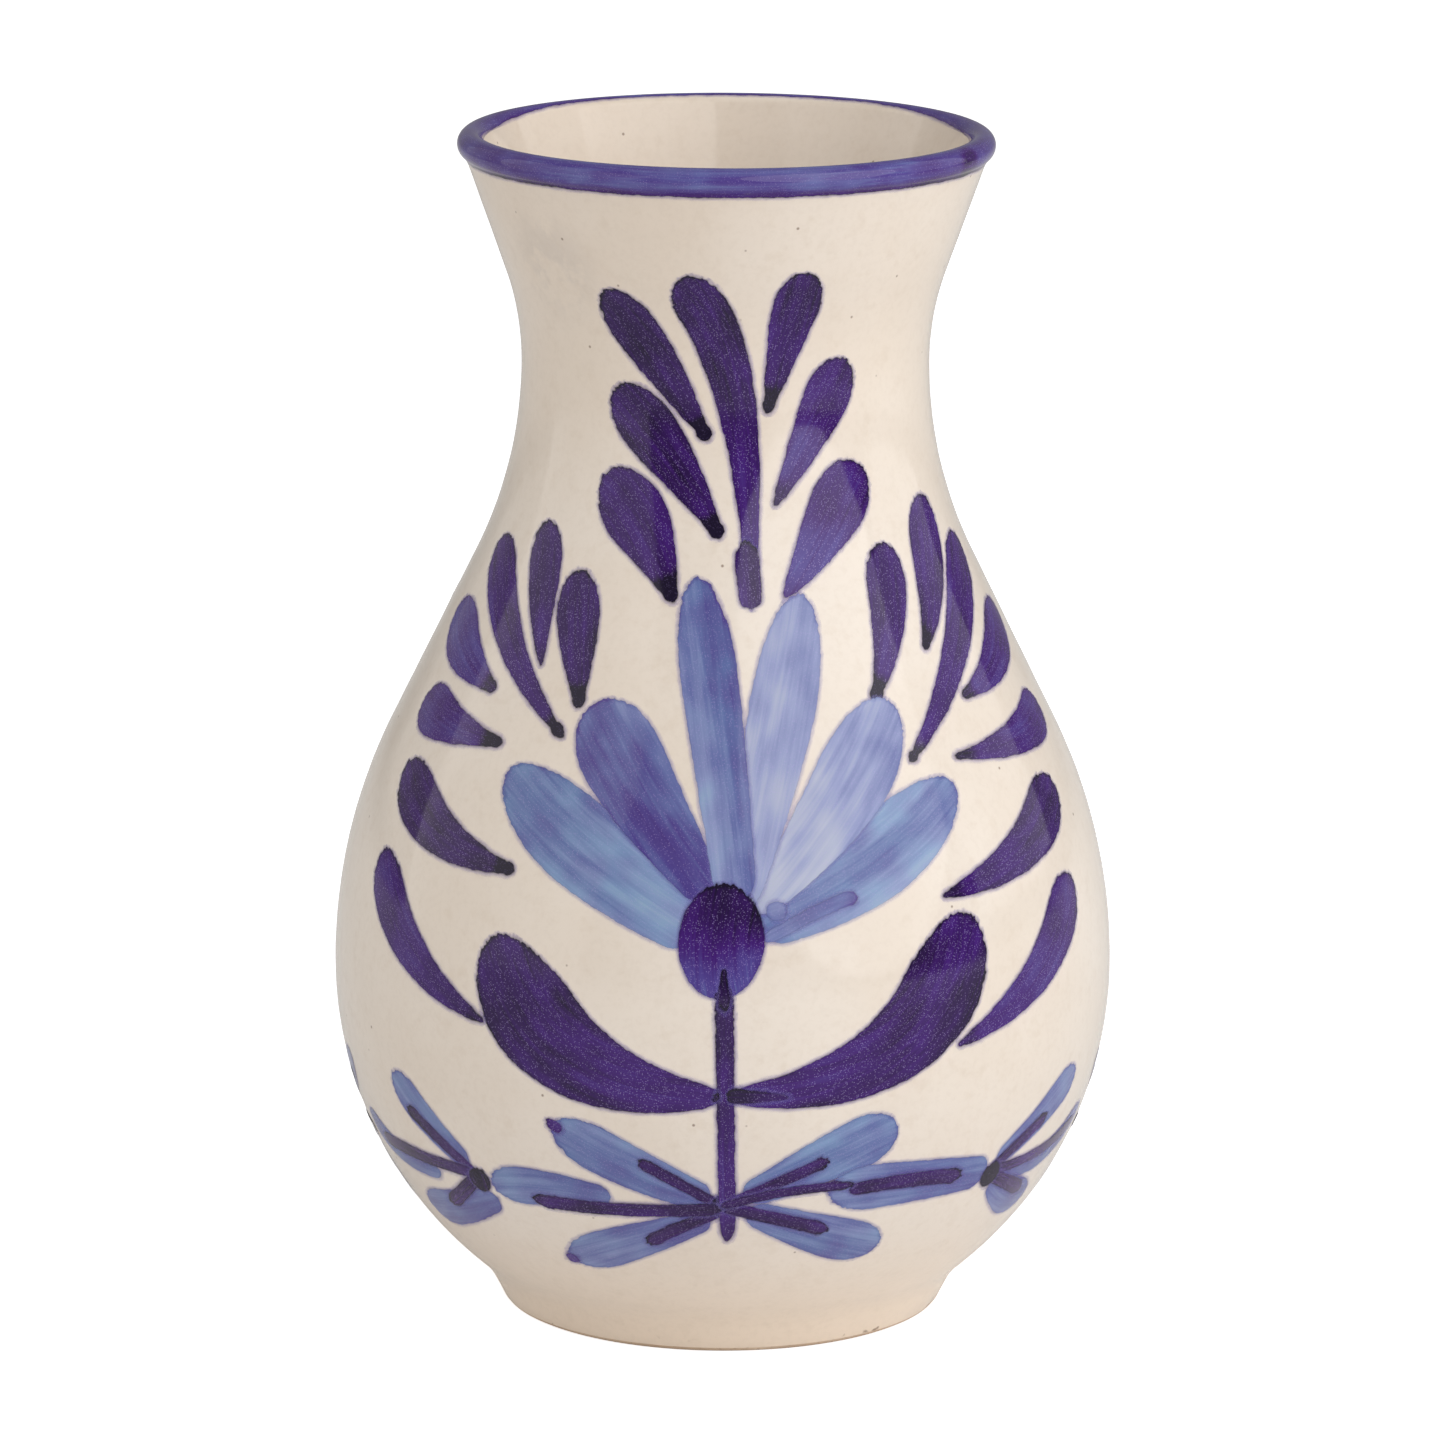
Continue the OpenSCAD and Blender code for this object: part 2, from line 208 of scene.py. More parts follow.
class Flow:
    """A number or vector on its way through a node tree. Arithmetic on it adds math nodes to the tree."""

    def __init__(self, tree, socket):
        self.tree = tree
        self.socket = socket

    def __add__(self, other):
        return calc(self.tree, "ADD", self, other)

    def __sub__(self, other):
        return calc(self.tree, "SUBTRACT", self, other)

    def __rsub__(self, other):
        return calc(self.tree, "SUBTRACT", other, self)

    def __mul__(self, other):
        """A vector times a number is scaled, anything else is multiplied part by part."""
        if self.socket.type == "VECTOR" and not (isinstance(other, Flow) and other.socket.type == "VECTOR"):
            node = self.tree.nodes.new("ShaderNodeVectorMath")
            node.operation = "SCALE"
            feed(self.tree, node.inputs[0], self)
            feed(self.tree, node.inputs["Scale"], other)
            return Flow(self.tree, node.outputs[0])
        return calc(self.tree, "MULTIPLY", self, other)

    def __truediv__(self, other):
        return calc(self.tree, "DIVIDE", self, other)

    def __rtruediv__(self, other):
        return calc(self.tree, "DIVIDE", other, self)

    def __pow__(self, other):
        return calc(self.tree, "POWER", self, other)

    __radd__ = __add__


def feed(tree, socket, value):
    """Links a flow to a socket, or sets the socket's own value."""
    if isinstance(value, Flow):
        tree.links.new(value.socket, socket)
    elif value is not None:
        socket.default_value = value


def calc(tree, operation, *values):
    """One math node, a vector one if a vector goes in."""
    vector = any(isinstance(v, Flow) and v.socket.type in ("VECTOR", "RGBA") for v in values)
    node = tree.nodes.new("ShaderNodeVectorMath" if vector else "ShaderNodeMath")
    node.operation = operation
    for socket, value in zip(node.inputs, values):
        feed(tree, socket, value)
    out = "Value" if vector and operation in ("LENGTH", "DOT_PRODUCT", "DISTANCE") else 0
    return Flow(tree, node.outputs[out])


def put(tree, kind, inputs=None, out=0, **settings):
    """One node with its settings and inputs by name. Gives back the flow from one of its outputs."""
    node = tree.nodes.new(kind)
    for name, value in settings.items():
        setattr(node, name, value)
    for name, value in (inputs or {}).items():
        feed(tree, next(s for s in node.inputs if s.enabled and s.name == name), value)
    return Flow(tree, node.outputs[out])


def twin(flow, out):
    """Another output of the node that a flow comes from."""
    return Flow(flow.tree, flow.socket.node.outputs[out])


def parts(vector):
    """The three numbers in a vector."""
    x = put(vector.tree, "ShaderNodeSeparateXYZ", {"Vector": vector})
    return x, twin(x, 1), twin(x, 2)


def joined(tree, x, y, z):
    return put(tree, "ShaderNodeCombineXYZ", {"X": x, "Y": y, "Z": z})


def ramp(tree, value, low, high, start=0.0, end=1.0):
    """Smooth change from start to end while a value goes from low to high."""
    return put(tree, "ShaderNodeMapRange", {"Value": value, "From Min": low, "From Max": high,
               "To Min": start, "To Max": end}, interpolation_type="SMOOTHSTEP")


def noise(tree, vector, scale, detail=2.0, rough=0.5):
    return put(tree, "ShaderNodeTexNoise", {
        "Vector": vector, "Scale": scale, "Detail": detail, "Roughness": rough})


def new_tree(name, kind, inputs, outputs):
    """An empty node group with its sockets, each given as name: (type, default)."""
    tree = bpy.data.node_groups.new(name, kind)
    for way, sockets in (("INPUT", inputs), ("OUTPUT", outputs)):
        for title, (sort, default) in sockets.items():
            socket = tree.interface.new_socket(title, in_out=way, socket_type="NodeSocket" + sort)
            if default is not None:
                socket.default_value = default
    given = tree.nodes.new("NodeGroupInput")
    result = tree.nodes.new("NodeGroupOutput")
    return tree, {s.name: Flow(tree, s) for s in given.outputs if s.name}, result


def group(tree, inner, inputs):
    """A copy of a node group in a tree. Gives back its outputs by name."""
    node = tree.nodes.new("GeometryNodeGroup" if tree.bl_idname == "GeometryNodeTree" else "ShaderNodeGroup")
    node.node_tree = inner
    for name, value in inputs.items():
        feed(tree, node.inputs[name], value)
    return {s.name: Flow(tree, s) for s in node.outputs}


def carried(tree, title, kind="FLOAT_VECTOR"):
    """An attribute that the geometry carries."""
    return put(tree, "GeometryNodeInputNamedAttribute", {"Name": title}, data_type=kind)


def stored(tree, geometry, title, value, kind="FLOAT_VECTOR"):
    return put(tree, "GeometryNodeStoreNamedAttribute", {"Geometry": geometry, "Name": title, "Value": value},
               data_type=kind, domain="POINT")


def fired(tree, geometry, sharp_edge, finish_of):
    """The end of a geometry tree: smooth shading but for sharp edges, real geometry and its finish."""
    smooth = put(tree, "GeometryNodeSetShadeSmooth", {
        "Geometry": geometry, "Shade Smooth": True}, domain="FACE")
    angle = put(tree, "GeometryNodeInputMeshEdgeAngle")
    sharp = put(tree, "FunctionNodeCompare", {"A": angle, "B": sharp_edge}, data_type="FLOAT",
                operation="GREATER_THAN")
    edged = put(tree, "GeometryNodeSetShadeSmooth", {
        "Geometry": smooth, "Selection": sharp, "Shade Smooth": False}, domain="EDGE")
    whole = put(tree, "GeometryNodeRealizeInstances", {"Geometry": edged})
    return put(tree, "GeometryNodeSetMaterial", {"Geometry": whole, "Material": finish_of})


def grown(name, mesh, tree, inputs):
    """A plain mesh piece made by running a geometry tree once on a mesh."""
    seed_piece = bpy.data.objects.new(name + "_start", mesh)
    bpy.context.scene.collection.objects.link(seed_piece)
    modifier = seed_piece.modifiers.new(name, "NODES")
    modifier.node_group = tree
    places = {s.name: s.identifier for s in tree.interface.items_tree if s.in_out == "INPUT"}
    for title, value in inputs.items():
        modifier[places[title]] = value
    seed_piece.update_tag()
    bpy.context.view_layer.update()
    result = seed_piece.evaluated_get(bpy.context.evaluated_depsgraph_get())
    finished = bpy.data.meshes.new_from_object(result)
    finished.name = name
    piece = bpy.data.objects.new(name, finished)
    bpy.context.scene.collection.objects.link(piece)
    bpy.data.objects.remove(seed_piece)
    return piece


# ---------------------------------------------------------------- throwing: an outline turned round the axis


SEGMENTS = 256
SHARP_EDGE = 0.6
OUT_OF_ROUND = 0.005
FINGER_RINGS = 0.00012
WHEEL_SEED = 4.0


def throwing_tree():
    """Turns an outline round Z, with the small unevenness of a hand-thrown wall."""
    tree, given, result = new_tree("thrown_wall", "GeometryNodeTree", {
        "Outline": ("Geometry", None), "Segments": ("Int", SEGMENTS), "Closed": ("Int", 0),
        "Out of Round": ("Float", 0.0), "Finger Rings": ("Float", 0.0), "Seed": ("Float", 0.0),
        "Sharp Edge": ("Float", SHARP_EDGE), "Finish": ("Material", None)}, {"Wall": ("Geometry", None)})
    outline = given["Outline"]
    count = put(tree, "GeometryNodeAttributeDomainSize", {"Geometry": outline})
    rows = count + given["Closed"]
    grid = put(tree, "GeometryNodeMeshGrid", {"Size X": 1.0, "Size Y": 1.0,
               "Vertices X": given["Segments"] + 1, "Vertices Y": rows})
    index = put(tree, "GeometryNodeInputIndex")
    column = calc(tree, "FLOOR", (index + 0.5) / rows)
    row = index - column * rows
    point = calc(tree, "FLOORED_MODULO", row, count)

    def on_outline(value):
        return put(tree, "GeometryNodeSampleIndex", {"Geometry": outline, "Value": value, "Index": point},
                   data_type="FLOAT_VECTOR")

    across, _, height = parts(on_outline(put(tree, "GeometryNodeInputPosition")))
    turn = column / given["Segments"] * math.tau
    east, north = calc(tree, "COSINE", turn), calc(tree, "SINE", turn)
    drift = noise(tree, joined(tree, east, north, height * 11.0 + given["Seed"]), 0.9, 1.0) - 0.5
    ring_place = joined(tree, east * 0.35, north * 0.35, height * 230.0 + given["Seed"])
    rings = noise(tree, ring_place, 1.0, 1.0) - 0.5
    radius = across * (drift * given["Out of Round"] + 1.0)
    body = ramp(tree, across, 0.03, 0.036)
    radius = radius + rings * given["Finger Rings"] * body
    spun = put(tree, "GeometryNodeSetPosition", {"Geometry": grid,
               "Position": joined(tree, radius * east, radius * north, height)})
    spun = stored(tree, spun, "band", on_outline(carried(tree, "band")))
    shut = put(tree, "GeometryNodeMergeByDistance", {"Geometry": spun, "Distance": 1e-6})
    done = fired(tree, shut, given["Sharp Edge"], given["Finish"])
    feed(tree, result.inputs["Wall"], done)
    return tree


def outline_mesh(name, points, marks):
    """An outline as a string of points, with the rim band's distances where it has them."""
    mesh = bpy.data.meshes.new(name + "_outline")
    mesh.from_pydata([(p.x * MM, 0, p.y * MM) for p in points],
                     [(i, i + 1) for i in range(len(points) - 1)], [])
    band = mesh.attributes.new("band", "FLOAT_VECTOR", "POINT")
    band.data.foreach_set("vector", [x for mark in marks for x in mark] or [0.0] * (3 * len(points)))
    return mesh


def thrown(name, points, closed, finish_of, tree, marks=()):
    """A wall turned from its outline. A closed outline, set by 1, joins its last point to its first."""
    return grown(name, outline_mesh(name, points, marks), tree, {
        "Segments": SEGMENTS, "Closed": closed, "Out of Round": OUT_OF_ROUND, "Finger Rings": FINGER_RINGS,
        "Seed": WHEEL_SEED, "Sharp Edge": SHARP_EDGE, "Finish": finish_of})


# ---------------------------------------------------------------- brushwork

# One row for each stroke: azimuth and height where the brush lands, half way and where it lifts, its width,
# how much pigment it carries, how much more it carries at the lift than at the landing, and the size of the
# dab that it leaves as it lifts. A row may go on with its tone: how much more pigment lies on the right of
# the brush's way, how much more in the middle, and a hue from teal at -1 to violet at 1. Then may come its
# own tail, which is the width at the lift as a share of the full width, and the share of its length that its
# head takes. Azimuth 0 faces -Y and grows towards +X.
TOP_PLUME = [
    (-32.5, 178, -19, 167, -4.5, 154, 8.6, 0.88, -0.04, 1.0),
    (-11.5, 181, 3, 160, 6, 128, 8.6, 0.86, -0.12, 0.0),
    (20, 182, 17, 172, 11.5, 158.5, 8.2, 0.84, -0.08, 0.8),
    (-32, 161.5, -15.5, 151.5, -1, 138.5, 9.6, 0.84, 0.0, 1.0),
    (34.5, 166.5, 25.5, 156.5, 13, 143.5, 8.6, 0.8, -0.14, 0.35, 0.0, 0.0, 0.6),
    (-34, 147, -21.5, 140, -11.5, 128.5, 11, 0.78, 0.02, 1.0),
    (38.5, 149, 27.5, 140.5, 13.5, 129, 10.4, 0.78, -0.2, 0.2, 0.0, 0.0, 0.5)]
LEFT_PLUME = [
    (-50.5, 138.5, -45, 128, -39, 117, 7.4, 0.82, -0.06, 0.2),
    (-36.5, 132, -32, 122, -28, 111.5, 8.2, 0.84, 0.0, 0.9),
    (-69, 134, -52, 121.5, -30, 107, 8, 0.76, 0.02, 0.9),
    (-76, 122.5, -64, 116.5, -48.5, 112, 9.6, 0.56, 0.04, 0.9),
    (-71, 107.5, -60, 105.5, -42.5, 104.5, 9, 0.69, 0.04, 0.8),
    (-66, 97.5, -51, 89.5, -33.5, 86, 9.8, 0.84, 0.04, 0.9),
    (-64.5, 83.5, -52.5, 70, -36.5, 61, 9.4, 0.76, 0.0, 0.3)]
RIGHT_PLUME = [
    (42, 136, 38, 125, 29.5, 112.5, 8.2, 0.8, -0.06, 0.9),
    (62, 142, 55.5, 130.5, 45, 119, 9, 0.78, 0.02, 0.6),
    (76, 134, 55.5, 119, 34, 103, 8.2, 0.76, 0.02, 0.7),
    (82, 122, 68, 115, 51, 111, 8.8, 0.72, -0.04, 0.7),
    (79, 106, 66, 103, 44, 102.5, 8.6, 0.72, 0.0, 0.6),
    (68.5, 95, 54.5, 87, 35, 82, 10, 0.84, -0.06, 0.4),
    (65, 80, 53.5, 67, 36, 57.5, 9.8, 0.76, -0.1, 0.4)]
PETALS = [
    (-39, 101, -20, 89.5, -3, 79, 14.2, 0.31, -0.13, 0.0, 0.02, 0.0, -0.8, 0.7, 0.42),
    (-25, 112.5, -13.5, 99.5, -1.5, 84, 13.8, 0.38, 0.06, 0.0, 0.06, 0.14, 0.0, 0.42, 0.3),
    (41.5, 99, 23.5, 88.8, 5, 79.5, 13.6, 0.22, 0.04, 0.0, 0.02, 0.18, -0.7, 0.55, 0.5),
    (32.5, 112.5, 19.5, 98.5, 4.5, 82, 12.9, 0.2, -0.16, 0.0, -0.05, 0.0, 0.0, 0.33, 0.38),
    (17.5, 129.5, 9.2, 107, 3, 82, 10.9, 0.2, -0.12, 0.0, -0.03, 0.0, 0.1, 0.34, 0.38),
    (-6.5, 132.2, -1.4, 109.5, 2, 83, 9.3, 0.38, -0.12, 0.0, -0.1, 0.0, -0.4, 0.7, 0.34)]
PETAL_MARKS = [
    (20.5, 83.6, 14.5, 81.8, 6, 77.5, 2.3, 0.46, -0.18, 0.0, 0.0, 0.0, 0.5),
    (9.5, 82.4, 8, 82, 6.5, 81.6, 3.0, 0.32, 0.0, 0.0, 0.0, 0.0, 0.7)]
PLUME_DAB = [(5.4, 138, 5.6, 132.6, 6, 127.6, 4.0, 0.86, -0.06, 0.0, 0.0, 0.0, 0.5)]
LEAVES = [
    (-35, 75.5, -22, 57.5, 0.6, 51.8, 16.8, 0.84, -0.06, 0.0, 0.04, -0.06, 0.0),
    (38.2, 79, 25.6, 58.9, 0.2, 51.8, 15.4, 0.84, -0.07, 0.0, -0.02, -0.08, 0.4)]
EYE = [(1.3, 86.2, -0.2, 77.2, 0.5, 68.2, 13.9, 0.9, -0.42, 0.0, 0.0, 0.04, 0.15)]
STEM = [(0.2, 70.8, 0.5, 50, 1, 25, 3.0, 0.84, -0.1, 0.2)]
STEM_JOINS = [
    (0.3, 66, 0.2, 70, 0.1, 73, 1.7, 0.9, 0.08, 0.0, 0.0, 0.0, 0.0, 0.45),
    (0.6, 52.2, 4, 51.9, 9.5, 51.6, 2.6, 0.97, -0.16, 0.0, 0.0, 0.0, 0.0, 0.25),
    (-1.2, 52, -0.8, 51.8, -0.4, 51.6, 1.8, 0.95, 0.0, 0.0)]
MIDDLE_LEAVES = [
    (-25.5, 45, -13.5, 38.5, -2, 33, 8.8, 0.3, 0.02, 0.0, 0.04, 0.0, -0.6, 0.6),
    (-28, 19, -14, 24.5, -2, 29.5, 8.4, 0.3, 0.06, 0.0, 0.0, 0.0, -0.4, 0.5),
    (26.5, 45, 16.5, 40.5, 3.5, 33.5, 9.6, 0.28, 0.02, 0.0, 0.0, 0.0, -0.8, 0.5),
    (28, 22, 17, 25.5, 4, 31, 9.4, 0.3, 0.02, 0.0, -0.04, 0.0, -0.5, 0.5)]
MIDDLE_VEINS = [
    (-26.4, 45.6, -25.2, 44.9, -24, 44.2, 1.8, 0.7, 0.0, 0.0),
    (-29, 18.8, -27.8, 19.1, -26.6, 19.5, 2.2, 0.6, 0.0, 0.0),
    (-12.5, 40, -7, 36.5, 0, 32, 2.2, 0.84, 0.0, 0.0),
    (-12.5, 24, -7, 27.5, 0, 31, 2.6, 0.84, 0.0, 0.0),
    (16, 40, 10, 37, 0, 32, 2.2, 0.84, 0.0, 0.0),
    (17.5, 26.5, 10, 29, 0, 32, 2.8, 0.84, 0.0, 0.0),
    (-31.5, 30.5, -17, 30.5, 0, 31.5, 2.8, 0.86, 0.0, 0.0),
    (20.5, 35, 10, 34.5, 0, 32, 1.8, 0.84, 0.0, 0.0)]
LEFT_LEAVES = [
    (-15.5, 47.5, -9, 41, -1, 34.5, 7, 0.3, 0.0, 0.0, 0.0, 0.0, -0.6, 0.6),
    (-31, 36.5, -23, 32, -9.5, 31, 5.6, 0.32, 0.0, 0.0, 0.0, 0.0, -0.5, 0.6),
    (-20.5, 22, -9, 24.5, 3, 29, 7.8, 0.34, 0.04, 0.0, 0.0, 0.0, -0.2, 0.6),
    (3, 31.5, 13.5, 33, 24.5, 32.5, 7.6, 0.28, 0.06, 0.0, -0.04, 0.0, -0.5, 0.55)]
LEFT_VEINS = [
    (-13, 42, -7, 38, 0, 33, 2.6, 0.84, 0.0, 0.0),
    (-27, 33, -14, 33, 0, 33, 2.6, 0.84, 0.0, 0.0),
    (-10.5, 25, -5, 28.5, 0, 32.5, 2.8, 0.84, 0.0, 0.0)]
RIGHT_LEAVES = [
    (19, 46.5, 11, 41, 1, 34.5, 6.8, 0.3, 0.02, 0.0, 0.0, 0.0, -0.4, 0.55),
    (28, 37.5, 17, 32, 4, 32, 5.6, 0.34, 0.0, 0.0, 0.0, 0.0, -0.3, 0.6),
    (18, 24, 9.5, 26, 2, 31, 7.6, 0.34, 0.0, 0.0, 0.0, 0.0, 0.1, 0.6),
    (-30.5, 34, -16, 34, -1, 33, 9, 0.3, 0.08, 0.0, 0.0, 0.0, -0.4, 0.7)]
RIGHT_VEINS = [
    (12, 40, 6, 37, 0, 33, 2.6, 0.84, 0.0, 0.0),
    (26, 35.5, 14, 33, 0, 33, 2.4, 0.8, 0.0, 0.0),
    (13.5, 26, 7, 29, 0, 32, 2.8, 0.8, 0.0, 0.0),
    (-6.5, 33.5, -17, 34.5, -27, 34, 3, 0.82, 0.0, 0.0)]
FAR_LEAVES = [
    (-13, 44.5, -8, 40, -1, 34.5, 6.2, 0.34, 0.0, 0.0),
    (13, 45.5, 8, 40.5, 1, 34.5, 6.6, 0.33, 0.0, 0.0),
    (-14, 21.5, -8, 25, -1, 30, 6.2, 0.35, 0.0, 0.0),
    (14, 20.5, 8.5, 24.5, 1, 30, 6.8, 0.33, 0.0, 0.0)]
FAR_VEINS = [
    (-9.5, 41, -5, 37.5, 0, 33, 2.4, 0.84, 0.0, 0.0),
    (9.5, 41.5, 5, 38, 0, 33, 2.4, 0.84, 0.0, 0.0),
    (-10, 25, -6, 28, 0, 31, 2.6, 0.84, 0.0, 0.0),
    (10, 24.5, 6, 27.5, 0, 31, 2.6, 0.84, 0.0, 0.0),
    (-13.5, 33, -8, 32, 0, 32, 2.6, 0.82, 0.0, 0.0),
    (13, 31.5, 8, 32, 0, 32, 2.4, 0.82, 0.0, 0.0)]
KNOT = [(0.5, 34.2, 0.5, 32, 0.5, 29.8, 4.4, 1.0, 0.0, 0.0)]

PLUME_TAIL = 0.13
PETAL_TAIL = 0.38
LEAF_TAIL = 0.15
GARLAND_TAIL = 0.3
LINE_TAIL = 0.85
ROUND_TAIL = 1.0


# A stroke's head and its closing end, as shares of its width and of its length.
HEAD_OF_WIDTH = 0.9
HEAD_LEAST, HEAD_MOST = 0.12, 0.42
CLOSING_OF_WIDTH = 0.42
CLOSING_LEAST = 0.08


def strokes_mesh(name, sets):
    """One point for each stroke, carrying its numbers as attributes. A set holds its rows, the azimuth that
    they turn by, their tail and how many strokes lie below them."""
    rows = []
    for strokes, azimuth, tail, below in sets:
        for order, s in enumerate(strokes, below):
            end_tail = s[13] if len(s) > 13 else tail
            land, half, lift = Vector((s[0], s[1], 0)), Vector((s[2], s[3], 0)), Vector((s[4], s[5], 0))
            length = math.hypot(math.radians(s[0] - s[4]) * wall_r(s[3]), s[1] - s[5])
            head = min(HEAD_MOST, max(HEAD_LEAST, HEAD_OF_WIDTH * s[6] / length))
            head = s[14] if len(s) > 14 else head
            closing = max(CLOSING_LEAST, CLOSING_OF_WIDTH * s[6] * end_tail / length)
            if tail == ROUND_TAIL:
                head = closing = 0.5
            turn = Vector((azimuth, 0, 0))
            rows.append((land + turn, 2 * half - (land + lift) / 2 + turn, lift + turn,
                         Vector((s[6] / 2, end_tail, length)), Vector((head, closing, order)),
                         Vector((s[7], s[8], s[9])), Vector((s[10:13] + (0, 0, 0))[:3]),
                         7.3 * len(rows) + abs(azimuth) * 0.37))
    mesh = bpy.data.meshes.new(name + "_strokes")
    mesh.from_pydata([(i * MM, 0, 0) for i in range(len(rows))], [], [])
    for column, title in enumerate(("landing", "pull", "lifting", "brush_size", "ends", "ink", "tone")):
        carried_by = mesh.attributes.new(title, "FLOAT_VECTOR", "POINT")
        carried_by.data.foreach_set("vector", [x for row in rows for x in row[column]])
    seeds = mesh.attributes.new("seed", "FLOAT", "POINT")
    seeds.data.foreach_set("value", [row[-1] for row in rows])
    return mesh


TAPER = 1.4  # how late a stroke thins
DOT_R = 1.3  # radius of the dot that a full dab leaves
SOFT_EDGE = 0.7  # spare film past a stroke's edge, where the paint fades
FILM_LIFT = 0.04  # top of the film over the glaze
STEM_LIFT, EYE_LIFT, VINE_LIFT, KNOT_LIFT = 0.14, 0.12, 0.09, 0.13
LAYER_T = 0.012  # how much higher each later stroke lies
FILM_SINK = 0.1  # how far the film reaches into the glaze
EDGE_FAR = 8.0  # no point counts as deeper in a stroke than this


def half_width_tree():
    """Square of a stroke's half width at a share of its length, with a round dot where the brush lifts."""
    tree, given, result = new_tree("stroke_half_width", "GeometryNodeTree", {
        "Share": ("Float", 0.0), "Half Width": ("Float", 4.0), "Tail": ("Float", 0.3), "Head": ("Float", 0.2),
        "Closing": ("Float", 0.1), "Taper": ("Float", TAPER), "Length": ("Float", 30.0),
        "Dot": ("Float", 0.0)}, {"Square": ("Float", None)})
    share, head, closing, dot = given["Share"], given["Head"], given["Closing"], given["Dot"]
    landing = 1.0 - calc(tree, "POWER", 1.0 - calc(tree, "MINIMUM", share / head, 1.0), 2.0)
    past = calc(tree, "MINIMUM", calc(tree, "MAXIMUM", (share - head) / (1.0 - head), 0.0), 1.0)
    thin = 1.0 - (1.0 - given["Tail"]) * (past ** given["Taper"])
    lifting = 1.0 - calc(tree, "POWER", 1.0 - calc(tree, "MINIMUM", (1.0 - share) / closing, 1.0), 2.0)
    square = given["Half Width"] * given["Half Width"] * thin * thin * calc(tree, "MINIMUM", landing, lifting)
    off = (1.0 - share) * given["Length"] - dot
    feed(tree, result.inputs["Square"], calc(tree, "MAXIMUM", square, dot * dot - off * off))
    return tree


def brush_tree():
    """Lays thin closed films of paint on the glaze, one for each stroke point."""
    tree, given, result = new_tree("brush_strokes", "GeometryNodeTree", {
        "Strokes": ("Geometry", None), "Glaze": ("Object", None), "Steps Along": ("Int", 48),
        "Steps Across": ("Int", 12), "Soft Edge": ("Float", SOFT_EDGE), "Lift": ("Float", FILM_LIFT),
        "Layer": ("Float", LAYER_T), "Sink": ("Float", FILM_SINK), "Taper": ("Float", TAPER),
        "Dot": ("Float", DOT_R), "Sharp Edge": ("Float", SHARP_EDGE), "Finish": ("Material", None)},
        {"Paint": ("Geometry", None)})
    width_tree = half_width_tree()
    grid = put(tree, "GeometryNodeMeshGrid", {
        "Size X": 1.0, "Size Y": 2.0, "Vertices X": given["Steps Along"] + 1,
        "Vertices Y": given["Steps Across"] + 1})
    marked = stored(tree, grid, "patch", put(tree, "GeometryNodeInputPosition"))
    copies = put(tree, "GeometryNodeInstanceOnPoints", {"Points": given["Strokes"], "Instance": marked})
    sheet = put(tree, "GeometryNodeRealizeInstances", {"Geometry": copies})

    half_width, tail, length = parts(carried(tree, "brush_size"))
    head, closing, layer = parts(carried(tree, "ends"))
    patch_x, side, _ = parts(carried(tree, "patch"))
    even = patch_x + 0.5
    along = 0.5 - calc(tree, "COSINE", even * math.pi) * 0.5
    along = along * 0.5 + even * 0.5
    margin = given["Soft Edge"]
    whole = length + margin * 2.0
    share = (along * whole - margin) / length

    _, _, dab = parts(carried(tree, "ink"))
    dot = dab * given["Dot"]

    def square(at, radius, end_tail, front, back, size, end_dot):
        return group(tree, width_tree, {"Share": at, "Half Width": radius, "Tail": end_tail, "Head": front,
                     "Closing": back, "Taper": given["Taper"], "Length": size, "Dot": end_dot})["Square"]

    wide = half_width + margin
    outer = square(along, wide, (half_width * tail + margin) / wide, (head * length + margin) / whole,
                   (closing * length + margin) / whole, whole, dot + margin)
    across = side * calc(tree, "SQRT", calc(tree, "MAXIMUM", outer, 0.0))

    start, pull, end = [carried(tree, title) for title in ("landing", "pull", "lifting")]
    rest = 1.0 - share
    here = start * (rest * rest) + pull * (share * rest * 2.0) + end * (share * share)
    ahead = (pull - start) * rest + (end - pull) * share
    here_a, here_z, _ = parts(here)
    ahead_a, ahead_z, _ = parts(ahead)

    target = put(tree, "GeometryNodeObjectInfo", {"Object": given["Glaze"]}, out="Geometry")

    def on_glaze(azimuth, height):
        """Where a level line towards the axis meets the glaze, and the way the glaze faces there."""
        turn = azimuth * (math.pi / 180)
        out_x, out_y = calc(tree, "SINE", turn), calc(tree, "COSINE", turn) * -1.0
        hit = put(tree, "GeometryNodeRaycast", {
            "Target Geometry": target, "Source Position": joined(tree, out_x * 0.1, out_y * 0.1, height * MM),
            "Ray Direction": joined(tree, out_x * -1.0, out_y * -1.0, 0.0), "Ray Length": 0.2},
            out="Hit Position", data_type="FLOAT_VECTOR")
        return hit, twin(hit, "Hit Normal")

    ground, facing = on_glaze(here_a, here_z)
    ground_x, ground_y, _ = parts(ground)
    radius = calc(tree, "SQRT", ground_x * ground_x + ground_y * ground_y) / MM
    facing_x, facing_y, _ = parts(facing)
    lean = 1.0 / calc(tree, "SQRT", facing_x * facing_x + facing_y * facing_y)
    run_a = ahead_a * radius * (math.pi / 180)
    run_z = ahead_z * lean
    reach = across / calc(tree, "SQRT", run_a * run_a + run_z * run_z)
    spot, outward = on_glaze(here_a + run_z * reach / radius * (180 / math.pi), here_z - run_a * reach / lean)
    top = spot + outward * ((given["Lift"] + layer * given["Layer"]) * MM)

    nudge = 0.01
    ends = (half_width, tail, head, closing, length, dot)
    here_square = square(share, *ends)
    slope = (square(share + nudge, *ends) - square(share - nudge, *ends)) / (length * (4 * nudge))
    steepness = calc(tree, "SQRT", slope * slope + across * across)
    edge = calc(tree, "MINIMUM", (here_square - across * across) / (steepness * 2.0 + 0.05), EDGE_FAR)

